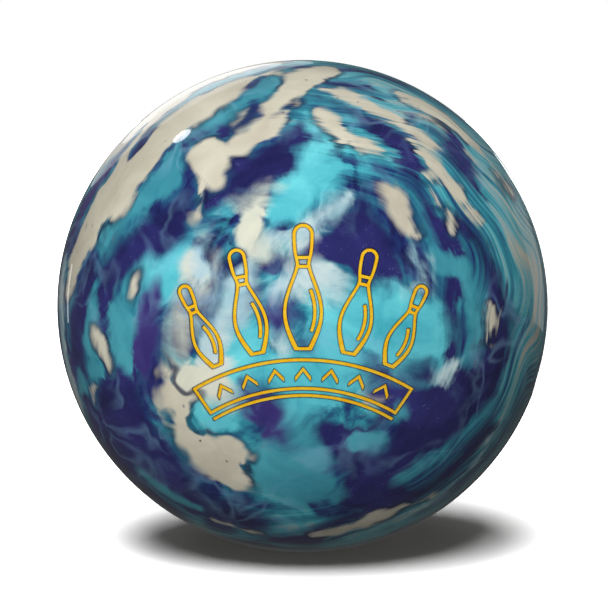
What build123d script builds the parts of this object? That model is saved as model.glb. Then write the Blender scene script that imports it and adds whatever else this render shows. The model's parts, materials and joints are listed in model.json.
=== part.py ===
"""An undrilled bowling ball, made up of the pieces it is cast, plugged and painted from.

A ball is cast from the inside out. The weight block is poured first, as a bulb, a flip block on top and two
side lobes that lock together. It hangs on a dowel in a round mould while the lighter outer core is poured
around it. That core hangs in a larger mould while the coverstock is poured, and the hole which that support
leaves is plugged with the pin. The ball is then turned round, marked, engraved, and paint is wiped into the
engraving.

Frame: the origin is the ball's centre, +Z goes up through the pin and -Y out through the front emblem.
All sizes are in millimetres.
"""

import os
from math import cos, degrees, radians, sin

from build123d import *

# The ball and its layers
ball_diameter = 217.6
cover_wall = 21.0

# Weight block bulb: its centre hangs below the ball's, its foot is cut flat and its stem rises above it
bulb_radius = 44.5
bulb_drop = 18.0
foot_cut = 3.5
foot_fillet = 5.0
stem_radius = 25.0
stem_rise = 9.0
waist_fillet = 12.0
spigot_radius = 15.0
spigot_length = 6.0

# Flip block, the dense puck on the bulb's stem
flip_radius = 33.0
flip_thickness = 26.0
flip_fillet = 6.0

# Side lobes, a pair of dense pucks set into the bulb, which give the ball its mass bias
lobe_radius = 24.0
lobe_pocket = 10.5
lobe_proud = 8.5
lobe_fillet = 7.0

# Support dowel, pin plug and the two markers
dowel_diameter = 12.0
dowel_socket = 10.0
pin_diameter = 9.5
bias_marker_diameter = 4.0
bias_marker_depth = 8.0
balance_marker_diameter = 2.6
balance_marker_depth = 1.2
balance_marker_arc = 65.0

# Engraving, shared by both emblems
line_width = 1.3
groove_depth = 0.75
paint_recess = 0.3
cutter_overrun = 11.0

# Front emblem: a fan of five pins over an arched lane with its aiming arrows
emblem_height = 3.0
lane_radius = 80.0
lane_width = 13.0
lane_half_angle = 34.0
lane_edge_gap = 1.6
arrow_count = 7
arrow_step = 8.6
arrow_width = 6.4
arrow_length = 6.0
arrow_stroke = 1.9
fan_gap = 3.2
centre_pin_height = 50.0
inner_pin_height = 43.0
outer_pin_height = 35.5
inner_pin_angle = 12.5
outer_pin_angle = 24.2
accent_gap = 1.3

# Side emblem: a rack of ten pin spots inside a ring
ring_radius = 20.0
spot_radius = 2.6
spot_spacing = 7.4
rack_rows = 4

# Regulation pin, which the emblem draws smaller: a pair of numbers is a (radius, height)
regulation_height = 381.0
regulation_base_radius = 25.8
regulation_ankle = (49.6, 57.2)
regulation_belly = (60.5, 114.3)
regulation_shoulder = (47.0, 184.2)
regulation_neck = (22.8, 254.0)
regulation_head_radius = 32.3
base_flare = (1, 2)
stripe_heights = (0.665, 0.735)

# What follows from those sizes
ball_radius = ball_diameter / 2
core_radius = ball_radius - cover_wall
groove_radius = ball_radius - groove_depth
paint_radius = ball_radius - paint_recess
lobe_seat = bulb_radius - lobe_pocket
flip_bottom = bulb_radius - bulb_drop + stem_rise
flip_top = flip_bottom + flip_thickness
socket_floor = flip_top - dowel_socket
balance_marker_angle = degrees(balance_marker_arc / ball_radius)
outside = ball_radius + cutter_overrun
fan_base_radius = lane_radius + fan_gap
emblem_top_radius = fan_base_radius + centre_pin_height
emblem_bottom_radius = (lane_radius - lane_width) * cos(radians(lane_half_angle))
fan_centre = emblem_height - (emblem_top_radius + emblem_bottom_radius) / 2

# The sphere faces all turn their seam to the back left, clear of the emblems and the markers.
seam_turn = (0, 0, 135)


def back_direction(angle_from_pin):
    """Unit vector that leans back from the pin, over the rear of the ball."""
    return Vector(0, sin(radians(angle_from_pin)), cos(radians(angle_from_pin)))


def pin_outline(height, inset=0.0):
    """A pin standing on the sketch's origin, as one face drawn in from its true outline by the inset."""
    scale = height / regulation_height
    head_radius = regulation_head_radius * scale
    flank_points = [
        (radius * scale - inset, level * scale)
        for radius, level in (regulation_belly, regulation_shoulder, regulation_neck)
    ]
    with BuildSketch() as outline:
        with BuildLine():
            base = Line((0, inset), (regulation_base_radius * scale - inset, inset))
            flank = Spline(
                base @ 1,
                *flank_points,
                (head_radius - inset, height - head_radius),
                tangents=(base_flare, (0, 1)),
            )
            JernArc(start=flank @ 1, tangent=(0, 1), radius=head_radius - inset, arc_size=90)
            mirror(about=Plane.YZ)
        make_face()
    return outline.sketch


def pin_lines(height):
    """A pin as engraved lines: its outline, two neck stripes and one accent inside the belly."""
    scale = height / regulation_height
    accent_inset = line_width + accent_gap + line_width / 2
    accent_points = [
        (radius * scale - accent_inset, level * scale)
        for radius, level in (regulation_ankle, regulation_belly, regulation_shoulder)
    ]
    with BuildSketch() as cells:
        add(pin_outline(height, inset=line_width))
        for share in stripe_heights:
            with Locations((0, share * height)):
                Rectangle(height, line_width, mode=Mode.SUBTRACT)
    with BuildSketch() as lines:
        add(pin_outline(height))
        add(cells.sketch, mode=Mode.SUBTRACT)
        with BuildLine():
            ThreePointArc(*accent_points)
        trace(line_width=line_width)
    return lines.sketch


def lane_sector(inner_radius, outer_radius):
    """Part of a flat ring about the fan's centre, as wide in angle as the lane."""
    with BuildSketch() as sector:
        Circle(outer_radius)
        Circle(inner_radius, mode=Mode.SUBTRACT)
        reach = 2 * outer_radius
        half_width = reach * sin(radians(lane_half_angle))
        height = reach * cos(radians(lane_half_angle))
        with BuildLine():
            Polyline((0, 0), (half_width, height), (-half_width, height), close=True)
        make_face(mode=Mode.INTERSECT)
    return sector.sketch


def engraved(lines, plane, groove=False):
    """Lines cut square into the ball's surface along a plane's normal.

    With groove, this is the cutter, which runs out past the surface. Without it, this is the paint that
    fills the groove's floor.
    """
    with BuildPart() as cut:
        with BuildSketch(plane):
            add(lines)
        extrude(amount=outside)
        Sphere(groove_radius, rotation=seam_turn, mode=Mode.SUBTRACT)
        if not groove:
            Sphere(paint_radius, rotation=seam_turn, mode=Mode.INTERSECT)
    return cut.part


# ---------------------------------------------------------------------------------------------------------
# Weight block
# ---------------------------------------------------------------------------------------------------------

# One round lobe, lying on its side with its rounded end outwards, and its mirror image.
with BuildPart() as side_lobe_right:
    with BuildSketch(Plane.YZ.offset(lobe_seat)):
        with Locations((0, -bulb_drop)):
            Circle(lobe_radius)
    extrude(amount=lobe_pocket + lobe_proud)
    fillet(faces().sort_by(Axis.X)[-1].edges(), lobe_fillet)

with BuildPart() as side_lobe_left:
    mirror(side_lobe_right.part, about=Plane.YZ)

# A round bulb on a flat foot, drawn in to a stem with a spigot on top, with a pocket for each lobe.
with BuildPart() as weight_block_bulb:
    with BuildSketch(Plane.XZ):
        with Locations((0, -bulb_drop)):
            Circle(bulb_radius)
            Rectangle(2 * stem_radius, bulb_radius + stem_rise, align=(Align.CENTER, Align.MIN))
        with Locations((0, -bulb_drop - bulb_radius)):
            Rectangle(2 * bulb_radius, foot_cut, align=(Align.CENTER, Align.MIN), mode=Mode.SUBTRACT)
        fillet(vertices().group_by(Axis.Y)[-2], waist_fillet)
        fillet(vertices().group_by(Axis.Y)[0], foot_fillet)
        with Locations((0, flip_bottom)):
            Rectangle(2 * spigot_radius, spigot_length, align=(Align.CENTER, Align.MIN))
        split(bisect_by=Plane.YZ)
    revolve(axis=Axis.Z)
    for lobe in (side_lobe_right, side_lobe_left):
        add(lobe.part, mode=Mode.SUBTRACT)

# The flip block sits over the spigot and holds the dowel's socket in its top.
with BuildPart() as flip_block:
    with BuildSketch(Plane.XY.offset(flip_bottom)):
        Circle(flip_radius)
    extrude(amount=flip_thickness)
    fillet(edges().filter_by(GeomType.CIRCLE), flip_fillet)
    with BuildSketch(Plane.XY.offset(flip_bottom)):
        Circle(spigot_radius)
    extrude(amount=spigot_length, mode=Mode.SUBTRACT)
    with BuildSketch(Plane.XY.offset(socket_floor)):
        Circle(dowel_diameter / 2)
    extrude(amount=dowel_socket, mode=Mode.SUBTRACT)

# The dowel stays in the outer core, cut off flush with its surface.
with BuildPart() as support_dowel:
    with BuildSketch(Plane.XY.offset(socket_floor)):
        Circle(dowel_diameter / 2)
    extrude(amount=core_radius - socket_floor)
    Sphere(core_radius, rotation=seam_turn, mode=Mode.INTERSECT)

# ---------------------------------------------------------------------------------------------------------
# Outer core
# ---------------------------------------------------------------------------------------------------------

with BuildPart() as outer_core:
    Sphere(core_radius, rotation=seam_turn)
    for casting in (weight_block_bulb, side_lobe_right, side_lobe_left, flip_block, support_dowel):
        add(casting.part, mode=Mode.SUBTRACT)

# ---------------------------------------------------------------------------------------------------------
# Pin plug and markers
# ---------------------------------------------------------------------------------------------------------

with BuildPart() as pin_plug:
    with BuildSketch(Plane.XY):
        Circle(pin_diameter / 2)
    extrude(amount=outside)
    Sphere(ball_radius, rotation=seam_turn, mode=Mode.INTERSECT)
    Sphere(core_radius, rotation=seam_turn, mode=Mode.SUBTRACT)

# A quarter of the way round from the pin, a small plug marks the end of the mass bias axis.
with BuildPart() as mass_bias_marker:
    with BuildSketch(Plane(origin=(0, 0, 0), z_dir=back_direction(90))):
        Circle(bias_marker_diameter / 2)
    extrude(amount=outside)
    Sphere(ball_radius, rotation=seam_turn, mode=Mode.INTERSECT)
    Sphere(ball_radius - bias_marker_depth, rotation=seam_turn, mode=Mode.SUBTRACT)

# A painted punch mark shows the heavy side, on the line from the pin to the mass bias marker.
balance_plane = Plane(origin=(0, 0, 0), z_dir=back_direction(balance_marker_angle))
with BuildPart() as balance_punch:
    with BuildSketch(balance_plane):
        Circle(balance_marker_diameter / 2)
    extrude(amount=outside)
    Sphere(ball_radius - balance_marker_depth, rotation=seam_turn, mode=Mode.SUBTRACT)

with BuildPart() as balance_marker:
    add(balance_punch.part)
    Sphere(paint_radius, rotation=seam_turn, mode=Mode.INTERSECT)

# ---------------------------------------------------------------------------------------------------------
# Emblems
# ---------------------------------------------------------------------------------------------------------

# The fan's pins stand on an arc over the lane and lean outwards along its radii.
fan = {
    "centre_pin": (0, centre_pin_height),
    "left_inner_pin": (-inner_pin_angle, inner_pin_height),
    "right_inner_pin": (inner_pin_angle, inner_pin_height),
    "left_outer_pin": (-outer_pin_angle, outer_pin_height),
    "right_outer_pin": (outer_pin_angle, outer_pin_height),
}
engravings = {}
for name, (angle, height) in fan.items():
    foot = (fan_base_radius * sin(radians(angle)), fan_centre + fan_base_radius * cos(radians(angle)))
    with BuildSketch() as standing_pin:
        with Locations(Location((*foot, 0), (0, 0, -angle))):
            add(pin_lines(height))
    engravings[f"front_emblem_{name}"] = (standing_pin.sketch, Plane.XZ)

# The lane is a closed outline with a second line under its near edge.
with BuildSketch() as lane:
    with Locations((0, fan_centre)):
        add(lane_sector(lane_radius - lane_width, lane_radius))
        offset(amount=-line_width, mode=Mode.SUBTRACT)
        edge_radius = lane_radius - lane_width - lane_edge_gap
        add(lane_sector(edge_radius - line_width, edge_radius))
engravings["front_emblem_lane"] = (lane.sketch, Plane.XZ)

# Each aiming arrow is a chevron that points along the lane's radius.
with BuildSketch() as arrow:
    with BuildLine():
        right, top = arrow_width / 2, arrow_length / 2
        Polyline(
            (0, top),
            (right, arrow_stroke - top),
            (right, -top),
            (0, top - arrow_stroke),
            (-right, -top),
            (-right, arrow_stroke - top),
            close=True,
        )
    make_face()
with BuildSketch() as arrows:
    arrow_radius = lane_radius - lane_width / 2
    for number in range(arrow_count):
        angle = (number - (arrow_count - 1) / 2) * arrow_step
        spot = (arrow_radius * sin(radians(angle)), fan_centre + arrow_radius * cos(radians(angle)))
        with Locations(Location((*spot, 0), (0, 0, -angle))):
            add(arrow.sketch)
engravings["front_emblem_lane_arrows"] = (arrows.sketch, Plane.XZ)

with BuildSketch() as ring:
    Circle(ring_radius)
    Circle(ring_radius - line_width, mode=Mode.SUBTRACT)
engravings["side_emblem_ring"] = (ring.sketch, Plane.YZ)

# The rack's rows hold one spot more each, and its centre of area is on the ring's centre.
row_spacing = spot_spacing * sin(radians(60))
with BuildSketch() as rack:
    for row in range(rack_rows):
        with Locations((0, (row - 2 * (rack_rows - 1) / 3) * row_spacing)):
            with GridLocations(spot_spacing, 0, row + 1, 1):
                Circle(spot_radius)
                Circle(spot_radius - line_width, mode=Mode.SUBTRACT)
engravings["side_emblem_pin_rack"] = (rack.sketch, Plane.YZ)

# ---------------------------------------------------------------------------------------------------------
# Coverstock
# ---------------------------------------------------------------------------------------------------------

with BuildPart() as coverstock:
    Sphere(ball_radius, rotation=seam_turn)
    Sphere(core_radius, rotation=seam_turn, mode=Mode.SUBTRACT)
    for filling in (pin_plug, mass_bias_marker, balance_punch):
        add(filling.part, mode=Mode.SUBTRACT)
    for lines, plane in engravings.values():
        add(engraved(lines, plane, groove=True), mode=Mode.SUBTRACT)

# ---------------------------------------------------------------------------------------------------------
# Export
# ---------------------------------------------------------------------------------------------------------

pieces = {
    "coverstock": coverstock.part,
    "outer_core": outer_core.part,
    "weight_block_bulb": weight_block_bulb.part,
    "flip_block": flip_block.part,
    "side_lobe_right": side_lobe_right.part,
    "side_lobe_left": side_lobe_left.part,
    "support_dowel": support_dowel.part,
    "pin_plug": pin_plug.part,
    "mass_bias_marker": mass_bias_marker.part,
    "balance_marker": balance_marker.part,
}
for name, (lines, plane) in engravings.items():
    pieces[f"{name}_paint"] = engraved(lines, plane)

os.makedirs("parts", exist_ok=True)
for name, piece in pieces.items():
    piece.label = name
    export_step(piece, f"parts/{name}.step")
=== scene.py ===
"""Looks of an undrilled bowling ball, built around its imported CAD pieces.

The coverstock is an even sphere of quads with the same engraving and plug holes as its CAD piece. Its marbling
is laid out as pours of coloured resin over the ball, and the material draws their edges, streaks and mica. The
paint, plugs and inner castings keep their CAD shapes and get finishes of their own.

Places on the ball are given as clock and out. Out is the angle in degrees from the front emblem's axis, -Y, and
clock is the direction to go in from there, in degrees clockwise from the pin as someone facing the emblem sees it.
"""

import json
import logging
from dataclasses import dataclass, field
from enum import Enum
from math import atan, cos, pi, radians, sin, tan

import bmesh
import bpy
import numpy as np
from mathutils import Matrix, Vector, noise


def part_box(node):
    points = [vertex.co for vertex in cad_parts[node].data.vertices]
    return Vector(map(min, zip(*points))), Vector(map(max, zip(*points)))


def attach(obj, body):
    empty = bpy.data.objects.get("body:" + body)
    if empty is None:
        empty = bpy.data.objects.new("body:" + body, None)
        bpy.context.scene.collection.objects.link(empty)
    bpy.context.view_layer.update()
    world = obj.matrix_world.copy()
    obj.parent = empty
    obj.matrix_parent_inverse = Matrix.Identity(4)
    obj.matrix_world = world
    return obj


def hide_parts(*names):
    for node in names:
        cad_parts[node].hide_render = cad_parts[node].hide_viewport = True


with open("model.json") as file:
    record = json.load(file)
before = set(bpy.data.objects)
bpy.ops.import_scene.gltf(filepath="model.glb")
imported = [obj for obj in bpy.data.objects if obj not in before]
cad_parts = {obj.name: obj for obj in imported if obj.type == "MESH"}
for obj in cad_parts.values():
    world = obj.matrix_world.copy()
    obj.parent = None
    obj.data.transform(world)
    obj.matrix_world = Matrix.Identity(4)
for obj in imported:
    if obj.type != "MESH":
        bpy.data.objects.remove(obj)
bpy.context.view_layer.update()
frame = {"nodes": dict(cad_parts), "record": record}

log = logging.getLogger("bowling_ball")

BODY = "root"
MM = 0.001
WELD_GAP = 0.001 * MM


# ---------------------------------------------------------------------------------------------------------
# Colour and node helpers
# ---------------------------------------------------------------------------------------------------------


def shade(red: int, green: int, blue: int) -> tuple[float, float, float, float]:
    """A colour from its eight-bit display values.

    Args:
        red: Display red, 0 to 255.
        green: Display green, 0 to 255.
        blue: Display blue, 0 to 255.

    Returns:
        The colour as linear red, green, blue and alpha.
    """
    linear = []
    for value in (red, green, blue):
        share = value / 255
        linear.append(share / 12.92 if share <= 0.04045 else ((share + 0.055) / 1.055) ** 2.4)
    return (*linear, 1.0)


class Wiring:
    """Adds nodes to one tree and links them, so that a graph reads from top to bottom."""

    def __init__(self, tree: bpy.types.NodeTree) -> None:
        """Takes the tree to work in."""
        self.tree = tree

    def add(self, kind: str, inputs: dict | None = None, **settings: object) -> bpy.types.Node:
        """Adds one node.

        Args:
            kind: The node's type name.
            inputs: Values or output sockets for its inputs, by name or number.
            settings: The node's own properties.

        Returns:
            The new node.
        """
        node = self.tree.nodes.new(kind)
        for name, value in settings.items():
            setattr(node, name, value)
        for key, value in (inputs or {}).items():
            self.feed(node.inputs[key], value)
        return node

    def feed(self, socket: bpy.types.NodeSocket, value: object) -> None:
        """Links an output socket to an input, or sets the input's plain value.

        Args:
            socket: The input.
            value: The output socket to link, or the plain value to set.
        """
        if isinstance(value, bpy.types.NodeSocket):
            self.tree.links.new(value, socket)
        else:
            socket.default_value = value

    def math(self, operation: str, *values: object) -> bpy.types.NodeSocket:
        """Adds a Math node on values or sockets and returns its output."""
        return self.add("ShaderNodeMath", dict(enumerate(values)), operation=operation).outputs[0]

    def vector(self, operation: str, *values: object) -> bpy.types.NodeSocket:
        """Adds a Vector Math node on vectors and returns its vector output."""
        node = self.add("ShaderNodeVectorMath", dict(enumerate(values)), operation=operation)
        return node.outputs["Vector"]

    def scaled(self, vector: object, amount: object) -> bpy.types.NodeSocket:
        """Multiplies a vector by a number or a value socket."""
        node = self.add("ShaderNodeVectorMath", {0: vector, "Scale": amount}, operation="SCALE")
        return node.outputs["Vector"]

    def remap(self, value: object, low: float, high: float, to_low: float = 0.0, to_high: float = 1.0,
              smooth: bool = False) -> bpy.types.NodeSocket:
        """Adds a clamped Map Range node.

        Args:
            value: The value socket to map.
            low: The value that gives to_low.
            high: The value that gives to_high.
            to_low: The result at low.
            to_high: The result at high.
            smooth: Whether the change eases in and out.

        Returns:
            The mapped value.
        """
        inputs = {"Value": value, "From Min": low, "From Max": high, "To Min": to_low, "To Max": to_high}
        kind = "SMOOTHSTEP" if smooth else "LINEAR"
        return self.add("ShaderNodeMapRange", inputs, interpolation_type=kind).outputs["Result"]

    def blend(self, share: object, first: object, second: object) -> bpy.types.NodeSocket:
        """Mixes two colours.

        Args:
            share: How much of the second colour there is, from 0 to 1.
            first: The first colour.
            second: The second colour.

        Returns:
            The mixed colour.
        """
        node = self.add("ShaderNodeMix", data_type="RGBA")
        for key, value in ((0, share), (6, first), (7, second)):
            self.feed(node.inputs[key], value)
        return node.outputs[2]

    def ramp(self, value: object, stops: tuple[tuple[float, tuple], ...]) -> bpy.types.NodeSocket:
        """Adds a Color Ramp node.

        Args:
            value: The value socket to colour.
            stops: The ramp's positions and colours.

        Returns:
            The ramp's colour.
        """
        node = self.add("ShaderNodeValToRGB", {"Fac": value})
        elements = node.color_ramp.elements
        while len(elements) > 1:
            elements.remove(elements[-1])
        elements[0].position, elements[0].color = stops[0]
        for position, colour in stops[1:]:
            elements.new(position).color = colour
        return node.outputs["Color"]

    def cloud(self, place: object, scale: object, detail: float = 4.0, roughness: float = 0.5,
              distortion: float = 0.0) -> bpy.types.Node:
        """Adds a 3-D Noise Texture node.

        Args:
            place: Where it is read.
            scale: How many clouds there are to a metre.
            detail: How many finer layers it has.
            roughness: How strong the finer layers are.
            distortion: How much it is drawn out of shape.

        Returns:
            The node.
        """
        inputs = {"Vector": place, "Scale": scale, "Detail": detail, "Roughness": roughness,
                  "Distortion": distortion}
        return self.add("ShaderNodeTexNoise", inputs)

    def use(self, group: bpy.types.NodeTree, **inputs: object) -> bpy.types.Node:
        """Places a node group.

        Args:
            group: The group.
            inputs: Values or sockets for its inputs, named in lower case with underscores.

        Returns:
            The group's node.
        """
        node = self.add("ShaderNodeGroup")
        node.node_tree = group
        named = {socket.name.lower().replace(" ", "_"): socket for socket in node.inputs}
        for name, value in inputs.items():
            self.feed(named[name], value)
        return node


class EffectGroup:
    """A shader node group under construction, with its inputs and outputs."""

    def __init__(self, name: str, inputs: dict[str, object], outputs: dict[str, str]) -> None:
        """Makes the group and its sockets.

        Args:
            name: The group's name.
            inputs: Each input's default, by name; a tuple of three makes a vector.
            outputs: Each output's kind by name: Float, Color or Vector.
        """
        self.tree = bpy.data.node_groups.new(name, "ShaderNodeTree")
        for label, default in inputs.items():
            kind = "NodeSocketVector" if isinstance(default, tuple) else "NodeSocketFloat"
            socket = self.tree.interface.new_socket(name=label, in_out="INPUT", socket_type=kind)
            socket.default_value = default
        for label, kind in outputs.items():
            self.tree.interface.new_socket(name=label, in_out="OUTPUT", socket_type=f"NodeSocket{kind}")
        self.wiring = Wiring(self.tree)
        self.given = self.wiring.add("NodeGroupInput").outputs
        self.result = self.wiring.add("NodeGroupOutput").inputs

    def give(self, label: str, socket: bpy.types.NodeSocket) -> None:
        """Links a socket to one of the group's outputs."""
        self.wiring.feed(self.result[label], socket)


# ---------------------------------------------------------------------------------------------------------
# Effects that several finishes share
# ---------------------------------------------------------------------------------------------------------


def stirred_place() -> bpy.types.NodeTree:
    """Builds the group that drags a place about, as stirring drags wet resin.

    Returns:
        The group, whose output is the place to read a pattern at.
    """
    inputs = {"Place": (0.0, 0.0, 0.0), "Coarse Scale": 16.0, "Coarse Pull": 0.03, "Fine Scale": 60.0,
              "Fine Pull": 0.008}
    group = EffectGroup("stirred_place", inputs, {"Place": "Vector"})
    wiring, place = group.wiring, group.given["Place"]
    for step in ("Coarse", "Fine"):
        swirl = wiring.cloud(place, group.given[f"{step} Scale"], detail=2.0).outputs["Color"]
        pull = wiring.vector("SUBTRACT", swirl, (0.5, 0.5, 0.5))
        place = wiring.vector("ADD", place, wiring.scaled(pull, group.given[f"{step} Pull"]))
    group.give("Place", place)
    return group.tree


def drawn_streaks() -> bpy.types.NodeTree:
    """Builds the group that draws streaks along the lines on which a stream value stays the same.

    Returns:
        The group, whose output is the streaks' value from 0 to 1.
    """
    inputs = {"Place": (0.0, 0.0, 0.0), "Stream": 0.0, "Along": 12.0, "Across": 30.0}
    group = EffectGroup("drawn_streaks", inputs, {"Streaks": "Float"})
    wiring = group.wiring
    place = wiring.scaled(group.given["Place"], group.given["Along"])
    across = wiring.math("MULTIPLY", group.given["Stream"], group.given["Across"])
    streaks = wiring.add(
        "ShaderNodeTexNoise",
        {"Vector": place, "W": across, "Scale": 1.0, "Detail": 5.0, "Roughness": 0.6},
        noise_dimensions="4D",
    )
    group.give("Streaks", streaks.outputs["Fac"])
    return group.tree


def mica_flakes() -> bpy.types.NodeTree:
    """Builds the group that scatters mica flakes, each tilted its own way.

    Returns:
        The group, with the flakes' glint and the surface normal that they tilt.
    """
    inputs = {"Place": (0.0, 0.0, 0.0), "Density": 1700.0, "Share": 0.05, "Tilt": 0.1}
    group = EffectGroup("mica_flakes", inputs, {"Glint": "Float", "Normal": "Vector"})
    wiring = group.wiring
    cells = wiring.add("ShaderNodeTexVoronoi", {"Vector": group.given["Place"], "Scale": group.given["Density"]})
    drawn = wiring.add("ShaderNodeSeparateColor", {"Color": cells.outputs["Color"]})
    threshold = wiring.math("SUBTRACT", 1.0, group.given["Share"])
    picked = wiring.math("GREATER_THAN", drawn.outputs["Red"], threshold)
    round_edge = wiring.remap(cells.outputs["Distance"], 0.45, 0.2)
    bright = wiring.math("MULTIPLY", picked, round_edge)
    group.give("Glint", wiring.math("MULTIPLY", bright, wiring.remap(drawn.outputs["Green"], 0, 1, 0.35, 1)))
    lean = wiring.vector("SUBTRACT", cells.outputs["Color"], (0.5, 0.5, 0.5))
    surface = wiring.add("ShaderNodeNewGeometry").outputs["Normal"]
    tilted = wiring.vector("ADD", surface, wiring.scaled(lean, group.given["Tilt"]))
    group.give("Normal", wiring.vector("NORMALIZE", tilted))
    return group.tree


def polish_haze() -> bpy.types.NodeTree:
    """Builds the group for the faint clouds and grain that polishing leaves in a gloss.

    Returns:
        The group, whose output is a roughness.
    """
    inputs = {"Place": (0.0, 0.0, 0.0), "Scale": 45.0, "Least": 0.1, "Most": 0.2}
    group = EffectGroup("polish_haze", inputs, {"Roughness": "Float"})
    wiring = group.wiring
    clouds = wiring.cloud(group.given["Place"], group.given["Scale"], detail=3.0).outputs["Fac"]
    fine_scale = wiring.math("MULTIPLY", group.given["Scale"], 24.0)
    grain = wiring.cloud(group.given["Place"], fine_scale, detail=2.0).outputs["Fac"]
    share = wiring.math("ADD", wiring.math("MULTIPLY", clouds, 0.75), wiring.math("MULTIPLY", grain, 0.25))
    eased = wiring.remap(share, 0.35, 0.65)
    spread = wiring.math("SUBTRACT", group.given["Most"], group.given["Least"])
    group.give("Roughness", wiring.math("MULTIPLY_ADD", eased, spread, group.given["Least"]))
    return group.tree


def silk_wisps() -> bpy.types.NodeTree:
    """Builds the group for the fine silky threads that pearl pigment settles into.

    Returns:
        The group, whose output is the threads' strength from 0 to 1.
    """
    inputs = {"Place": (0.0, 0.0, 0.0), "Scale": 46.0, "Cover": 0.5}
    group = EffectGroup("silk_wisps", inputs, {"Wisps": "Float"})
    wiring, place = group.wiring, group.given["Place"]
    fold = wiring.cloud(place, group.given["Scale"], detail=1.6, roughness=0.5, distortion=0.9).outputs["Fac"]
    apart = wiring.math("ABSOLUTE", wiring.math("SUBTRACT", fold, 0.5))
    threads = wiring.remap(apart, 0.10, 0.0, smooth=True)
    half_scale = wiring.math("MULTIPLY", group.given["Scale"], 0.6)
    patches = wiring.cloud(wiring.vector("ADD", place, (1.0, 2.0, 3.0)), half_scale, detail=5.0).outputs["Fac"]
    cover = wiring.math("SUBTRACT", wiring.math("ADD", patches, group.given["Cover"]), 1.0)
    group.give("Wisps", wiring.math("MULTIPLY", threads, wiring.remap(cover, 0.0, 0.14)))
    return group.tree


def edge_shadow() -> bpy.types.NodeTree:
    """Builds the group that finds the rim of an engraved line, where a shadow is painted.

    Returns:
        The group, whose output is 1 at an edge and 0 on open surface.
    """
    group = EffectGroup("edge_shadow", {"Radius": 0.9 * MM}, {"Shade": "Float"})
    wiring = group.wiring
    rounded = wiring.add("ShaderNodeBevel", {"Radius": group.given["Radius"]}, samples=6).outputs["Normal"]
    plain = wiring.add("ShaderNodeNewGeometry").outputs["Normal"]
    facing = wiring.add("ShaderNodeVectorMath", {0: rounded, 1: plain}, operation="DOT_PRODUCT").outputs["Value"]
    group.give("Shade", wiring.remap(facing, 0.998, 0.972))
    return group.tree


@dataclass(frozen=True)
class Effects:
    """The node groups that the finishes share, each built once.

    Attributes:
        stir: Drags a place about.
        streaks: Draws streaks along the flow.
        mica: Scatters mica flakes.
        haze: Varies a gloss.
        wisps: Draws silky threads.
        edge: Finds the rims of the engraving, where a shadow is painted.
    """

    stir: bpy.types.NodeTree = field(default_factory=stirred_place)
    streaks: bpy.types.NodeTree = field(default_factory=drawn_streaks)
    mica: bpy.types.NodeTree = field(default_factory=mica_flakes)
    haze: bpy.types.NodeTree = field(default_factory=polish_haze)
    wisps: bpy.types.NodeTree = field(default_factory=silk_wisps)
    edge: bpy.types.NodeTree = field(default_factory=edge_shadow)


# ---------------------------------------------------------------------------------------------------------
# Resins and pours
# ---------------------------------------------------------------------------------------------------------


@dataclass(frozen=True)
class ResinLook:
    """How one coloured resin looks.

    Attributes:
        label: The name of the mesh attribute that holds its reach.
        deep: Its colour where it lies thick.
        light: Its colour where it is thinned.
        softness: Half the width of its blended edge, in degrees over the ball.
        drift: How far noise carries its edge to and fro, in degrees over the ball.
        thick: Whether it keeps smooth edges, as thick resin does.
    """

    label: str
    deep: tuple[float, float, float, float]
    light: tuple[float, float, float, float]
    softness: float
    drift: float
    thick: bool


class Resin(Enum):
    """The coloured resins, in the order in which their edges cover each other."""

    NAVY = ResinLook("navy", shade(22, 22, 70), shade(56, 56, 128), 1.5, 14.0, False)
    VIOLET = ResinLook("violet", shade(48, 38, 106), shade(78, 68, 140), 1.5, 14.0, False)
    TEAL = ResinLook("teal", shade(48, 134, 156), shade(84, 180, 196), 1.3, 13.0, False)
    TURQUOISE = ResinLook("turquoise", shade(52, 172, 194), shade(124, 236, 244), 1.9, 14.0, False)
    PALE = ResinLook("pale", shade(146, 204, 220), shade(234, 242, 238), 1.5, 14.0, False)
    MILK = ResinLook("milk", shade(206, 214, 200), shade(246, 244, 222), 2.2, 14.0, False)
    CREAM = ResinLook("cream", shade(206, 199, 178), shade(236, 231, 210), 0.8, 8.0, True)


@dataclass(frozen=True)
class Pour:
    """A trail of one resin over the ball.

    Attributes:
        resin: The resin that is poured.
        path: The trail's points as clock, out and half width, in degrees.
    """

    resin: Resin
    path: tuple[tuple[float, float, float], ...]


def direction(clock: float, out: float) -> np.ndarray:
    """The unit vector from the ball's centre to a place on it.

    Args:
        clock: The direction from the front emblem, in degrees clockwise from the pin.
        out: The angle from the front emblem's axis, in degrees.

    Returns:
        The vector in the ball's frame.
    """
    reach = sin(radians(out))
    return np.array([reach * sin(radians(clock)), -cos(radians(out)), reach * cos(radians(clock))])


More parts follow.
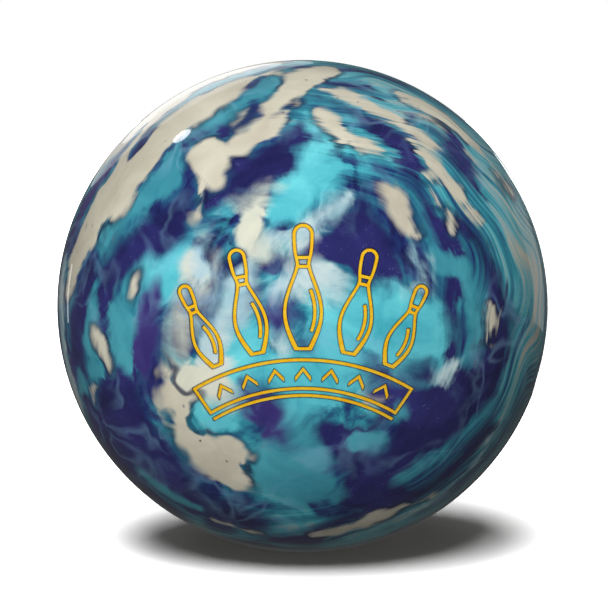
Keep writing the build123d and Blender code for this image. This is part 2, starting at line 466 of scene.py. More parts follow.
UPPER_LEFT_POURS = (
    # the wide cream swath with its teal thread, and the indigo stripe outside it
    Pour(Resin.CREAM, ((347, 71, 7), (335, 68, 9.5), (320, 64, 12), (308, 61.5, 11), (298, 61.5, 8),
                       (290, 63.5, 5.4), (282, 66, 3.6), (277, 68, 1.8))),
    Pour(Resin.CREAM, ((352, 85, 4), (338, 83.5, 6), (324, 81.5, 6.5), (312, 81, 4), (304, 83, 2))),
    Pour(Resin.TEAL, ((351, 77.5, 3), (338, 74.5, 2.6), (327, 71.5, 2.4), (319, 68.5, 1.8), (313, 66, 0.8))),
    Pour(Resin.VIOLET, ((316, 75, 1), (307, 73.5, 3), (299, 73, 3.8), (291, 74, 4.2), (283, 76.5, 4.4),
                        (276, 79.5, 4))),
    # the teal and navy bands that follow its inner edge
    Pour(Resin.TEAL, ((353, 67, 4.5), (347, 60.5, 4), (340, 57, 3.6), (331, 53.5, 3.6), (322, 50.5, 4.6),
                      (314, 48, 5), (306, 48.5, 4.4), (298, 51, 3.4), (291, 54.5, 3))),
    Pour(Resin.NAVY, ((348, 54, 2.5), (341, 51, 2), (333, 49.5, 1.4), (326, 45.5, 1.6), (320, 41, 2.6),
                      (313, 37.5, 4.2), (306, 38.5, 6), (299, 41, 6.5), (292, 45, 6), (285, 49.5, 5),
                      (278, 54, 3))),
    Pour(Resin.NAVY, ((352, 38, 4.5), (342, 38, 5), (334, 36, 4.5), (326, 35.5, 3.4), (317, 37, 3),
                      (306, 38, 2.4))),
    Pour(Resin.NAVY, ((6, 46, 2.6), (0, 45, 3.6), (354, 42, 4), (348, 39, 4))),
    Pour(Resin.NAVY, ((4, 46, 2.5), (9, 42, 2), (14, 39.5, 0.6))),
    # the second cream mass, its lobes and its tail
    Pour(Resin.CREAM, ((5, 73, 3.4), (1, 68, 4.4), (357, 61, 3.6), (353, 56, 3.6), (349, 52, 4.4),
                       (346, 48, 4.8), (341, 44.5, 3), (337, 44.5, 1.6))),
    Pour(Resin.CREAM, ((334, 51, 1.2), (331.5, 47, 4), (329.5, 43, 3.6), (328, 39.5, 2))),
    Pour(Resin.CREAM, ((325, 42, 0.8), (322, 39.5, 2), (318.5, 36.5, 1.4), (315.5, 34.5, 0.5))),
    Pour(Resin.NAVY, ((316, 38, 1.4), (310, 37.5, 2), (304, 37.5, 1.6))),
    Pour(Resin.NAVY, ((330, 53.5, 1.8), (336, 53, 2.2), (341, 51.5, 2.8), (346, 54.5, 2.4), (348, 58, 1.2))),
    Pour(Resin.NAVY, ((0, 56.5, 0.5), (355, 54.5, 1), (352, 52.5, 0.6))),
)

TOP_RIGHT_POURS = (
    Pour(Resin.TURQUOISE, ((6, 49, 3), (12, 46, 4), (20, 44, 3))),
    Pour(Resin.CREAM, ((5, 51.5, 1.2), (9, 48.5, 2.0), (13, 45, 2.2), (19, 44.5, 1.4), (26, 44.5, 0.7))),
    Pour(Resin.CREAM, ((5, 61, 0.8), (13, 60, 2.0), (20, 58.5, 2.4), (28, 56, 1.2), (36, 55, 0.6))),
    Pour(Resin.NAVY, ((3, 58.5, 0.8), (10, 56, 1.8), (18, 52.5, 2.8), (25, 49.5, 3.6), (31, 49, 3.2),
                      (37, 48, 2.4), (42, 45.5, 1.6), (46, 42, 1.2))),
    Pour(Resin.NAVY, ((7, 64.5, 1.2), (15, 65, 1.6), (22, 63, 1.6), (27, 61, 1))),
    Pour(Resin.CREAM, ((24, 71, 1.4), (30, 69.5, 3.6), (37, 69, 2.4), (44, 70, 2), (51, 71, 1.8),
                       (60, 72, 1.2))),
    Pour(Resin.NAVY, ((34, 60.5, 1.6), (40, 60.5, 4), (46, 58.5, 3.6), (52, 57.5, 1.6))),
    Pour(Resin.CREAM, ((31, 52.5, 0.8), (38, 50.5, 1.6), (45, 49, 1.6), (52, 49, 1.1), (60, 50, 0.7))),
    Pour(Resin.NAVY, ((33, 45.5, 2.0), (40, 43.8, 2.4), (45, 41.5, 1.6), (50, 39, 1.6), (56, 38.5, 2.4),
                      (61, 39, 3))),
    Pour(Resin.CREAM, ((41, 45.5, 0.9), (47, 43.5, 1.4), (52, 43.5, 1.0), (58, 41, 0.6))),
    Pour(Resin.CREAM, ((31, 37, 0.8), (35, 36, 2.2), (40, 34.5, 2.6), (45, 33, 1.8), (51, 32.5, 0.8))),
    Pour(Resin.NAVY, ((4, 80, 1.4), (14, 80.5, 1.6), (24, 80, 1))),
)

CENTRE_POURS = (
    Pour(Resin.TURQUOISE, ((2, 37, 5), (5, 32, 7), (357, 28, 6), (350, 26, 3))),
    Pour(Resin.NAVY, ((20, 33, 1.6), (22, 29.5, 3.6), (27, 26, 5.6), (38, 23, 6.6), (50, 20.5, 5.6),
                      (62, 19.5, 4.6), (72, 22, 3))),
    Pour(Resin.TURQUOISE, ((11, 38, 2.4), (20, 37, 2.6))),
    Pour(Resin.NAVY, ((328, 17, 2.5), (342, 15.5, 3), (355, 16, 2.4), (12, 18, 2.6), (26, 19, 4))),
    Pour(Resin.TURQUOISE, ((354, 23.5, 2.4), (346, 20.5, 2.6), (338, 19.5, 1.8))),
    Pour(Resin.PALE, ((351, 22, 1.4), (344, 20.5, 1.8), (337, 20, 1))),
    Pour(Resin.PALE, ((350, 21, 1.4), (358, 21, 1.8), (8, 23.5, 1.8), (15, 28.5, 1.6), (19, 33.5, 1))),
    Pour(Resin.TURQUOISE, ((322, 22, 4), (310, 30, 3), (300, 30.5, 3), (290, 33, 4), (281, 31, 3))),
    Pour(Resin.MILK, ((343, 32, 2), (338, 28.5, 3.2), (333, 24.5, 3.8), (329, 20.5, 2.8), (338, 17.5, 1.2))),
    Pour(Resin.MILK, ((317, 29, 1), (310, 27, 2.8), (303, 25.5, 3.8), (296, 24.5, 3.2), (288, 22, 2))),
    Pour(Resin.PALE, ((318, 17, 2.4), (303, 16, 4), (288, 16, 4), (272, 16.5, 3.4), (256, 20, 3))),
    Pour(Resin.TURQUOISE, ((60, 9, 5), (78, 14, 6), (86, 20, 7), (95, 26, 7), (104, 31, 4))),
    Pour(Resin.TURQUOISE, ((250, 12, 5), (230, 13, 7), (200, 13, 8), (165, 12, 7), (130, 10, 6), (90, 6, 4))),
    Pour(Resin.VIOLET, ((276, 7, 1.6), (290, 6.5, 3.2), (308, 5.5, 2.4))),
    Pour(Resin.PALE, ((330, 9, 1.6), (355, 10, 2.2), (15, 11.5, 2.6), (33, 11.5, 2.2), (44, 11, 1))),
    Pour(Resin.TURQUOISE, ((325, 29, 1.6), (318, 28, 2.8), (311, 27.5, 2.8))),
    Pour(Resin.PALE, ((313, 28, 1.2), (307, 28, 2.4), (300, 27, 2.4), (299, 22, 2))),
    Pour(Resin.PALE, ((54, 29, 1.4), (64, 29, 2.2), (73, 28, 1.6))),
    Pour(Resin.PALE, ((250, 7, 0.8), (225, 5, 1.0))),
    Pour(Resin.NAVY, ((118, 17, 2), (122, 21, 3.5), (116, 26, 3.5), (110, 30, 3.5))),
)

LEFT_POURS = (
    Pour(Resin.TEAL, ((290, 39, 1.6), (284, 42, 2), (276, 44, 3), (266, 44, 3), (258, 46, 3))),
    Pour(Resin.VIOLET, ((286, 34, 1.6), (276, 34.5, 3.6), (266, 35, 4), (258, 37, 3.8), (251, 38, 2.4))),
    Pour(Resin.CREAM, ((286, 41, 0.7), (282, 40.5, 1.1), (279, 41, 0.6))),
    Pour(Resin.NAVY, ((287, 49, 2.6), (279, 49, 3.2), (271, 49.5, 2.4), (264, 48, 1.4))),
    Pour(Resin.NAVY, ((284, 57, 3), (277, 58, 4), (270, 60, 4.4), (263, 63, 4.4), (257, 66, 3.6),
                      (252, 69, 1.6))),
    Pour(Resin.TEAL, ((280, 53, 0.8), (272, 54, 1.4), (264, 56, 1.6), (256, 55, 2.4))),
    Pour(Resin.MILK, ((284, 26.5, 1), (276, 26.5, 2.4), (269, 26, 3.2), (262, 26, 2.4))),
    Pour(Resin.NAVY, ((266, 60, 1.6), (260, 60.5, 2.6), (255, 61, 1.6))),
    Pour(Resin.CREAM, ((266, 52.5, 0.7), (262, 50.5, 1.5), (258, 50.5, 0.9))),
    Pour(Resin.CREAM, ((251, 58, 0.6), (249, 59.5, 1.4), (245, 61, 0.9))),
    Pour(Resin.TEAL, ((254, 63.5, 1.6), (248, 66, 2.4), (242, 68, 1.6))),
    Pour(Resin.PALE, ((280, 75, 2), (270, 74.5, 2.6), (262, 74, 2.4), (255, 74.5, 2), (247, 75, 1.6))),
    Pour(Resin.NAVY, ((277, 70.5, 0.9), (268, 70, 1.1), (261, 69, 1))),
)

LOWER_LEFT_POURS = (
    Pour(Resin.NAVY, ((258, 47, 2), (250, 47, 6), (243, 52, 9.5), (235, 54, 11), (227, 55, 11), (219, 55, 9),
                      (211, 56, 7), (203, 54, 4.5), (195, 56, 4))),
    Pour(Resin.NAVY, ((246, 66, 4), (236, 68, 7), (226, 70, 7), (214, 70, 4))),
    Pour(Resin.CREAM, ((252, 32, 1.2), (247, 31, 3), (242, 32, 4), (236, 34.5, 4), (230, 36.5, 3.6),
                       (224, 37.5, 4.2), (217, 37.5, 5), (211, 38.5, 5), (206, 40, 3.4), (203, 42, 1.6))),
    Pour(Resin.NAVY, ((207, 50, 2), (200, 51.5, 3.2), (194, 51.5, 2))),
    Pour(Resin.MILK, ((246, 28, 3), (240, 25, 3.2), (232, 23.5, 2.4), (227, 24.5, 1.6))),
    Pour(Resin.CREAM, ((213, 32, 2), (208, 33, 2), (203, 35, 1))),
    Pour(Resin.TEAL, ((241, 40, 1.2), (237, 38.5, 1.8))),
    Pour(Resin.TURQUOISE, ((231, 29, 2.4), (222, 28, 3.4), (215, 28, 1.6))),
    Pour(Resin.VIOLET, ((232, 17, 1.2), (220, 19, 2.6), (210, 20, 4), (201, 20.5, 5), (195, 24, 3.8),
                        (188, 27, 1.6))),
    Pour(Resin.TEAL, ((224, 60, 1), (216, 60, 1.4), (209, 58, 0.8))),
    Pour(Resin.CREAM, ((204, 60, 0.6), (198, 60, 1), (192, 61, 0.5))),
)

LOWER_RIGHT_POURS = (
    Pour(Resin.TEAL, ((200, 32, 3), (190, 35, 6), (179, 38, 7), (171, 40, 4))),
    Pour(Resin.TEAL, ((184, 23, 3), (178, 27, 4), (172, 22, 3))),
    Pour(Resin.NAVY, ((57, 44, 1.6), (64, 46, 3), (72, 47, 3.6), (82, 48.5, 3.4), (93, 50, 4.4), (102, 48, 6),
                      (110, 44, 8), (119, 40, 9), (128, 36, 9), (138, 34, 8), (148, 35, 8), (157, 39, 7),
                      (163, 45, 5), (155, 48, 5))),
    Pour(Resin.NAVY, ((168, 24, 3), (160, 28.5, 4.4), (157, 33.5, 5), (151, 35, 4.6))),
    Pour(Resin.NAVY, ((186, 63, 3), (178, 62, 3.6), (168, 51, 3), (158, 52, 3), (140, 54, 4), (122, 56, 4))),
    Pour(Resin.NAVY, ((68, 39, 2.4), (74, 36, 2.4), (86, 33, 2), (94, 35, 2.2), (101, 35, 2))),
    Pour(Resin.TEAL, ((66, 33, 2.4), (74, 41, 2), (84, 39, 2.4), (92, 41.5, 2), (101, 39, 1))),
    Pour(Resin.CREAM, ((86, 45.5, 0.8), (90, 45, 1.6), (95, 43.5, 0.9))),
    Pour(Resin.PALE, ((103, 36, 0.5), (107, 34.5, 0.8), (111, 33, 0.4))),
    Pour(Resin.TEAL, ((136, 30, 0.7), (146, 31, 1.2), (156, 28.5, 1.4))),
    Pour(Resin.TEAL, ((118, 52, 1), (126, 49, 0.9), (138, 46, 1.1), (148, 45, 0.8))),
    Pour(Resin.TURQUOISE, ((176, 68, 1.4), (164, 67.5, 2.6), (150, 69, 3.4), (138, 71, 3.4), (126, 72, 2.6),
                           (112, 73, 1.4))),
    Pour(Resin.CREAM, ((177, 60, 0.9), (169, 57.5, 1.5), (161, 56, 1.5), (153, 56.5, 1), (146, 58, 0.6))),
    Pour(Resin.PALE, ((124, 60, 0.9), (132, 61, 1.3), (143, 62, 1), (152, 62, 0.6))),
)


@dataclass(frozen=True)
class PourPlan:
    """Every pour on the ball, and the reach and stream values that they give at any place.

    Attributes:
        laid: The pours that face the front, laid one by one.
        trails: How many pours are scattered over the rest of the ball.
        seed: The seed of the scatter and of the noise.
        order: The resins of the scattered pours, taken in turn.
        clear_out: How far from the front axis the scatter starts, in degrees.
        furthest: The reach at which a pour's value stops growing, in degrees.
        wander: The scale and the pull, on a ball of radius 1, of each layer of the noise that moves the edges.
    """

    laid: tuple[Pour, ...] = (
        CENTRE_POURS + UPPER_LEFT_POURS + TOP_RIGHT_POURS + LEFT_POURS + LOWER_RIGHT_POURS + LOWER_LEFT_POURS
    )
    trails: int = 84
    seed: int = 7
    order: tuple[Resin, ...] = (Resin.NAVY, Resin.TEAL, Resin.TURQUOISE, Resin.CREAM, Resin.NAVY, Resin.CREAM,
                                Resin.VIOLET, Resin.TURQUOISE)
    clear_out: float = 84.0
    furthest: float = 9.0
    wander: tuple[tuple[float, float], ...] = ((3.1, 0.030), (9.0, 0.020), (23.0, 0.009))

    def scattered(self) -> list[Pour]:
        """Makes the pours for the sides and the back, which curl round the back's centre.

        Returns:
            The pours, in the order in which they cover each other.
        """
        draw = np.random.default_rng(self.seed)
        pours = []
        for number in range(self.trails):
            resin = self.order[number % len(self.order)]
            clock, out = draw.uniform(0, 360), draw.uniform(self.clear_out + 6, 172)
            width, turn = draw.uniform(2.5, 8.5), draw.choice((-1, 1)) * draw.uniform(6, 10)
            drift = draw.uniform(-3.5, 3.5)
            count = int(draw.integers(5, 9))
            path = []
            for step in range(count):
                swell = sin(pi * (step + 0.6) / (count + 0.2))
                path.append((clock, out, max(0.6, width * swell)))
                clock += turn * min(3.0, 1.0 / max(0.2, sin(radians(out))))
                out = min(176.0, max(self.clear_out, out + drift + draw.uniform(-2.5, 2.5)))
            pours.append(Pour(resin, tuple(path)))
        return pours

    def reach_of(self, pour: Pour, places: np.ndarray) -> np.ndarray:
        """How far inside a pour each place lies.

        Args:
            pour: The pour.
            places: Unit vectors, one a row.

        Returns:
            Degrees inside the pour's edge, below zero outside it.
        """
        best = np.full(len(places), -self.furthest)
        points = [(direction(clock, out), half_width) for clock, out, half_width in pour.path]
        for (start, start_width), (end, end_width) in zip(points, points[1:]):
            run = end - start
            along = np.clip((places - start) @ run / (run @ run), 0.0, 1.0)
            nearest = start + along[:, None] * run
            nearest /= np.linalg.norm(nearest, axis=1)[:, None]
            apart = np.degrees(2 * np.arcsin(np.linalg.norm(places - nearest, axis=1) / 2))
            best = np.maximum(best, start_width + along * (end_width - start_width) - apart)
        return np.clip(best, -self.furthest, self.furthest)

    def wandered(self, places: np.ndarray) -> np.ndarray:
        """Moves each place a little, so that the pours' edges wander as wet resin does.

        Args:
            places: Unit vectors, one a row.

        Returns:
            The moved unit vectors.
        """
        noise.seed_set(self.seed)
        moved = np.empty_like(places)
        for row, place in enumerate(places):
            point = Vector(place)
            layer, shift = Vector(), Vector()
            for scale, pull in self.wander:
                layer = noise.noise_vector(point * scale + layer)
                shift += pull * layer
            moved[row] = point + shift
        return moved / np.linalg.norm(moved, axis=1)[:, None]

    def stream(self, places: np.ndarray) -> np.ndarray:
        """A value that stays the same along the flow: rings about the front, more and more bent behind.

        Args:
            places: Unit vectors, one a row.

        Returns:
            The value at each place.
        """
        values = np.empty(len(places))
        for row, place in enumerate(places):
            point = Vector(place)
            out = np.degrees(np.arccos(np.clip(-place[1], -1, 1)))
            bend = noise.noise(point * 1.4) + 0.5 * noise.noise(point * 3.3)
            values[row] = out / 90 + bend * np.interp(out, (0, 40, 90, 180), (0.10, 0.10, 0.25, 0.9))
        return values

    def streakiness(self, places: np.ndarray) -> np.ndarray:
        """How much of the pattern is drawn out into streaks: most at the right and towards the limb.

        Args:
            places: Unit vectors, one a row.

        Returns:
            The share at each place, from 0 to 1.
        """
        clock = np.degrees(np.arctan2(places[:, 0], places[:, 2])) % 360
        out = np.degrees(np.arccos(np.clip(-places[:, 1], -1, 1)))
        clocks = (0, 12, 30, 110, 150, 230, 260, 340, 360)
        right = np.interp(clock, clocks, (0.4, 0.8, 1, 1, 0.5, 0.1, 0.4, 0.15, 0.4))
        ring = np.interp(out, (25, 48, 75, 95, 120, 180), (0.0, 1.0, 1.0, 0.7, 0.25, 0.25))
        return np.maximum(right, np.interp(out, (60, 80), (0.0, 0.7))) * ring

    def reaches(self, places: np.ndarray) -> dict[Resin, np.ndarray]:
        """Lays every pour in turn, each one pushing the resins under it aside.

        Args:
            places: Unit vectors, one a row.

        Returns:
            For each resin, degrees inside its edge at each place.
        """
        wandered = self.wandered(places)
        reach = {resin: np.full(len(places), -self.furthest) for resin in Resin}
        for pour in [*self.scattered(), *self.laid]:
            inside = self.reach_of(pour, wandered)
            for resin in Resin:
                if resin is pour.resin:
                    reach[resin] = np.maximum(reach[resin], inside)
                else:
                    reach[resin] = np.minimum(reach[resin], -inside)
        return reach


# ---------------------------------------------------------------------------------------------------------
# Finishes
# ---------------------------------------------------------------------------------------------------------


class Finish:
    """One procedural material, with a Principled shader that reads the piece's own coordinates."""

    def __init__(self, name: str, effects: Effects) -> None:
        """Makes the material's empty graph.

        Args:
            name: The material's name.
            effects: The shared node groups.
        """
        self.material = bpy.data.materials.new(name)
        self.material.use_nodes = True
        self.material.node_tree.nodes.clear()
        self.wiring = Wiring(self.material.node_tree)
        self.effects = effects
        self.place = self.wiring.add("ShaderNodeTexCoord").outputs["Object"]
        self.shader = self.wiring.add("ShaderNodeBsdfPrincipled")
        output = self.wiring.add("ShaderNodeOutputMaterial")
        self.wiring.feed(output.inputs["Surface"], self.shader.outputs["BSDF"])

    def set(self, **inputs: object) -> None:
        """Sets or links the shader's inputs.

        Args:
            inputs: Values or sockets, named in lower case with underscores.
        """
        named = {socket.name.lower().replace(" ", "_"): socket for socket in self.shader.inputs}
        for name, value in inputs.items():
            self.wiring.feed(named[name], value)

    def bump(self, height: object, depth: float) -> bpy.types.NodeSocket:
        """A bumped normal from a height and the depth in metres that it spans."""
        return self.wiring.add("ShaderNodeBump", {"Height": height, "Distance": depth}).outputs["Normal"]


class MarbledResinFinish(Finish):
    """Polished marbled resin: pours with wandering edges over a streaked ground, with mica in the dark ones."""

    GROUND_TONES = (
        (0.00, shade(26, 26, 80)),
        (0.22, shade(38, 56, 116)),
        (0.40, shade(44, 108, 142)),
        (0.56, shade(56, 152, 172)),
        (0.70, shade(84, 188, 202)),
        (0.84, shade(150, 196, 198)),
        (1.00, shade(212, 205, 184)),
    )
    SILK = shade(150, 200, 236)
    SPECK = shade(40, 44, 84)
    # partly painted glint: the flakes' pale blue stands for their sparkle as well as their own colour
    MICA_GLINT = shade(150, 190, 235)
    # painted shade: the near-black that the groove rims are darkened to, as if they lay in the grooves' shadow
    PAINTED_GROOVE_SHADE = shade(22, 20, 24)
    OUTLINE_WIDTH = 1.5

    def __init__(self, effects: Effects) -> None:
        """Builds the graph from the mesh's reach, stream and streakiness attributes.

        Args:
            effects: The shared node groups.
        """
        super().__init__("marbled_resin", effects)
        wiring = self.wiring
        self.stirred = wiring.use(effects.stir, place=self.place).outputs["Place"]
        self.streakiness = self.attribute("streakiness")
        self.clouds = wiring.cloud(self.stirred, 36.0, detail=6.0, roughness=0.56, distortion=0.5).outputs["Fac"]
        self.smooth_clouds = wiring.cloud(self.stirred, 60.0, detail=2.0, roughness=0.4).outputs["Fac"]
        stream = self.attribute("stream")
        self.broad = self.streaks(stream, 9.0, 26.0)
        self.thin = self.streaks(stream, 12.0, 80.0)
        bend = wiring.math("SUBTRACT", self.broad, 0.5)
        self.flow = wiring.math("MULTIPLY_ADD", bend, self.streakiness, 0.5)
        flakes = wiring.use(effects.mica, place=self.place, tilt=0.04, share=0.03).outputs
        colour = self.specked(self.silky(self.poured(self.ground())))
        colour = self.glinting(colour, flakes["Glint"])
        # painted shade: the rims of the engraved grooves are darkened, as if they lay in the grooves' shadow
        rim = wiring.math("MULTIPLY", wiring.use(effects.edge).outputs["Shade"], 0.95)
        colour = wiring.blend(rim, colour, self.PAINTED_GROOVE_SHADE)
        haze = wiring.use(effects.haze, place=self.place, least=0.26, most=0.38)
        self.set(base_color=colour, roughness=haze.outputs["Roughness"], specular_ior_level=0.2, coat_weight=1.0,
                 coat_roughness=0.035, normal=flakes["Normal"])

    def attribute(self, label: str) -> bpy.types.NodeSocket:
        """Reads one of the mesh's values."""
        return self.wiring.add("ShaderNodeAttribute", attribute_name=label).outputs["Fac"]

    def streaks(self, stream: object, along: float, across: float) -> bpy.types.NodeSocket:
        """Places one set of streaks, with its scales along and across the stream."""
        inputs = {"place": self.stirred, "stream": stream, "along": along, "across": across}
        return self.wiring.use(self.effects.streaks, **inputs).outputs["Streaks"]

    def ground(self) -> bpy.types.NodeSocket:
        """The colour between the pours, cloudy in some places and drawn into thin streaks in others.

        Returns:
            The colour.
        """
        wiring = self.wiring
        streaky = wiring.math("MULTIPLY_ADD", self.broad, 0.55, wiring.math("MULTIPLY", self.thin, 0.45))
        cloudy = wiring.math("MULTIPLY_ADD", self.clouds, 0.8, wiring.math("MULTIPLY", self.broad, 0.2))
        apart = wiring.math("SUBTRACT", streaky, cloudy)
        tone = wiring.math("MULTIPLY_ADD", apart, self.streakiness, cloudy)
        tone = wiring.math("MULTIPLY_ADD", self.streakiness, 0.025, tone)
        return wiring.ramp(wiring.remap(tone, 0.37, 0.63), self.GROUND_TONES)

    def poured(self, colour: object) -> bpy.types.NodeSocket:
        """Covers the ground with each resin in turn, and draws a dark outline along the thick one.

        Args:
            colour: The ground's colour.

        Returns:
            The colour with the resins on it.
        """
        wiring = self.wiring
        for look in (resin.value for resin in Resin):
            if look.thick:
                drawn = wiring.math("MULTIPLY", wiring.remap(self.clouds, 0.42, 0.56), 0.85)
                outline = wiring.math("MULTIPLY", self.mask(look, spread=self.OUTLINE_WIDTH), drawn)
                colour = wiring.blend(outline, colour, Resin.NAVY.value.deep)
            colour = wiring.blend(self.mask(look), colour, self.resin_colour(look))
        return colour

    def silky(self, colour: object) -> bpy.types.NodeSocket:
        """Lays silky threads over all but the cream.

        Args:
            colour: The colour under them.

        Returns:
            The colour with the threads.
        """
        wiring = self.wiring
        silk = wiring.use(self.effects.wisps, place=self.stirred, cover=0.52).outputs["Wisps"]
        open_resin = wiring.math("SUBTRACT", 1.0, self.mask(Resin.CREAM.value))
        silk = wiring.math("MULTIPLY", wiring.math("MULTIPLY", silk, open_resin), 0.24)
        return wiring.blend(silk, colour, self.SILK)

    def specked(self, colour: object) -> bpy.types.NodeSocket:
        """Sprinkles a few dark specks over the cream.

        Args:
            colour: The colour under them.

        Returns:
            The colour with the specks.
        """
        wiring = self.wiring
        specks = wiring.use(self.effects.mica, place=self.stirred, density=430.0, share=0.014).outputs["Glint"]
        specks = wiring.math("MULTIPLY", specks, self.mask(Resin.CREAM.value))
        return wiring.blend(specks, colour, self.SPECK)

    def glinting(self, colour: object, glint: object) -> bpy.types.NodeSocket:
        """Paints the mica flakes pale, partly their own colour and partly a painted glint, most of them in patches
        of the navy.

        Args:
            colour: The colour under them.
            glint: The flakes' mask.

        Returns:
            The colour with the flakes.
        """
        wiring = self.wiring
        dark = self.mask(Resin.NAVY.value, widen=2.0)
        patches = wiring.math("MULTIPLY", wiring.remap(self.clouds, 0.46, 0.6), 0.6)
        shown = wiring.math("MULTIPLY", glint, wiring.math("MULTIPLY_ADD", dark, patches, 0.03))
        # partly painted glint: the flakes are lit up in the base colour, on top of their own pale colour
        return wiring.blend(shown, colour, self.MICA_GLINT)

    def mask(self, look: ResinLook, widen: float = 1.0, spread: float = 0.0) -> bpy.types.NodeSocket:
        """Where a resin shows.

        Args:
            look: The resin's look.
            widen: How many times softer than usual its edge is drawn.
            spread: How far out the edge is moved, in degrees over the ball.

        Returns:
            The mask, from 0 to 1.
        """
        wiring = self.wiring
        clouds, blurring = (self.smooth_clouds, 4.0) if look.thick else (self.clouds, 5.5)
        swell = wiring.math("SUBTRACT", clouds, 0.5)
        streaky = wiring.math("MULTIPLY", wiring.math("SUBTRACT", self.thin, 0.5), self.streakiness)
        sway = wiring.math("MULTIPLY_ADD", streaky, 0.9, swell)
        reach = wiring.math("MULTIPLY_ADD", sway, look.drift, self.attribute(look.label))
        reach = wiring.math("ADD", reach, spread) if spread else reach
        crisp = look.softness * widen * 0.5
        softness = wiring.remap(self.smooth_clouds, 0.35, 0.68, crisp, crisp * blurring)
        share = wiring.math("DIVIDE", reach, softness)
        return wiring.remap(share, -1.0, 1.0, smooth=True)

    def resin_colour(self, look: ResinLook) -> bpy.types.NodeSocket:
        """A resin's own colour, thinned in clouds and along the streaks.

        Args:
            look: The resin's look.

        Returns:
            The colour.
        """
        wiring = self.wiring
        mixed = wiring.math("MULTIPLY_ADD", self.flow, 0.45, wiring.math("MULTIPLY", self.clouds, 0.55))
        return wiring.blend(wiring.remap(mixed, 0.38, 0.62), look.deep, look.light)


@dataclass(frozen=True)
class PlugLook:
    """The colours of a small plug of cast resin.

    Attributes:
        name: The material's name.
        deep: Its main colour.
        light: The colour of its pearly clouds.
    """

    name: str
    deep: tuple[float, float, float, float]
    light: tuple[float, float, float, float]


class PlugResinFinish(Finish):
    """Polished resin of one colour with faint pearly clouds."""

    def __init__(self, look: PlugLook, effects: Effects) -> None:
        """Builds the graph.

        Args:
            look: The plug's colours.
            effects: The shared node groups.
        """
        super().__init__(look.name, effects)
        wiring = self.wiring
        stirred = wiring.use(effects.stir, place=self.place, coarse_scale=90.0, coarse_pull=0.01, fine_scale=300.0,
                             fine_pull=0.002)
        clouds = wiring.cloud(stirred.outputs["Place"], 160.0, detail=5.0).outputs["Fac"]
        flakes = wiring.use(effects.mica, place=self.place, density=2600.0, tilt=0.06)
        colour = wiring.blend(wiring.remap(clouds, 0.35, 0.65), look.deep, look.light)
        haze = wiring.use(effects.haze, place=self.place, scale=120.0, least=0.16, most=0.3)
        self.set(base_color=colour, roughness=haze.outputs["Roughness"], coat_weight=0.8, coat_roughness=0.04,
                 normal=flakes.outputs["Normal"])


class EngravingPaintFinish(Finish):
    """Wiped-in enamel: thick gold paint that dries a little uneven, with tiny pits."""

    def __init__(self, effects: Effects) -> None:
        """Builds the graph, with painted shade where the paint meets the groove's walls.

        Args:
            effects: The shared node groups.
        """
        super().__init__("engraving_enamel", effects)
        wiring = self.wiring
        body = wiring.cloud(self.place, 420.0, detail=4.0, roughness=0.6).outputs["Fac"]
        drag = wiring.cloud(wiring.vector("MULTIPLY", self.place, (90.0, 90.0, 700.0)), 1.0).outputs["Fac"]
        mixed = wiring.math("MULTIPLY_ADD", body, 0.6, wiring.math("MULTIPLY", drag, 0.4))
        colour = wiring.ramp(wiring.remap(mixed, 0.35, 0.65), (
            (0.0, shade(255, 184, 18)),
            (0.5, shade(255, 200, 28)),
            (1.0, shade(255, 212, 64)),
        ))
        # painted shade: the enamel turns dark brown near the groove's walls, where shade would fall
        wall_occlusion = wiring.add("ShaderNodeAmbientOcclusion", {"Distance": 0.45 * MM}, samples=8).outputs["AO"]
        colour = wiring.blend(wiring.remap(wall_occlusion, 0.30, 0.55), shade(96, 62, 22), colour)
        haze = wiring.use(effects.haze, place=self.place, scale=220.0, least=0.28, most=0.48)
        self.set(base_color=colour, roughness=haze.outputs["Roughness"], coat_weight=0.25, coat_roughness=0.12,
                 normal=self.bump(body, 0.05 * MM))


@dataclass(frozen=True)
class CastLook:
    """The colours of an inner casting.

    Attributes:
        name: The material's name.
        body: The casting's main colour.
        shadow: The colour of its darker patches.
        fleck: The colour of the filler grains that show.
        grain: How many filler grains there are to a metre.
    """

    name: str
    body: tuple[float, float, float, float]
    shadow: tuple[float, float, float, float]
    fleck: tuple[float, float, float, float]
    grain: float


class CastFillerFinish(Finish):
    """Unpolished filled resin, as it comes out of a mould: mottled, speckled with filler and pitted."""

    def __init__(self, look: CastLook, effects: Effects) -> None:
        """Builds the graph.

        Args:
            look: The casting's colours.
            effects: The shared node groups.
        """
        super().__init__(look.name, effects)
        wiring = self.wiring
        stirred = wiring.use(effects.stir, place=self.place, coarse_scale=30.0, coarse_pull=0.02).outputs["Place"]
        mottle = wiring.cloud(stirred, 40.0, detail=6.0, roughness=0.6).outputs["Fac"]
        grains = wiring.use(effects.mica, place=self.place, density=look.grain, share=0.12)
        colour = wiring.blend(wiring.remap(mottle, 0.35, 0.65), look.shadow, look.body)
        colour = wiring.blend(grains.outputs["Glint"], colour, look.fleck)
        pits = wiring.add("ShaderNodeTexVoronoi", {"Vector": self.place, "Scale": 420.0}).outputs["Distance"]
        relief = wiring.math("ADD", wiring.remap(pits, 0.0, 0.22), wiring.math("MULTIPLY", mottle, 0.5))
        haze = wiring.use(effects.haze, place=self.place, scale=80.0, least=0.5, most=0.75)
        self.set(base_color=colour, roughness=haze.outputs["Roughness"], normal=self.bump(relief, 0.15 * MM))


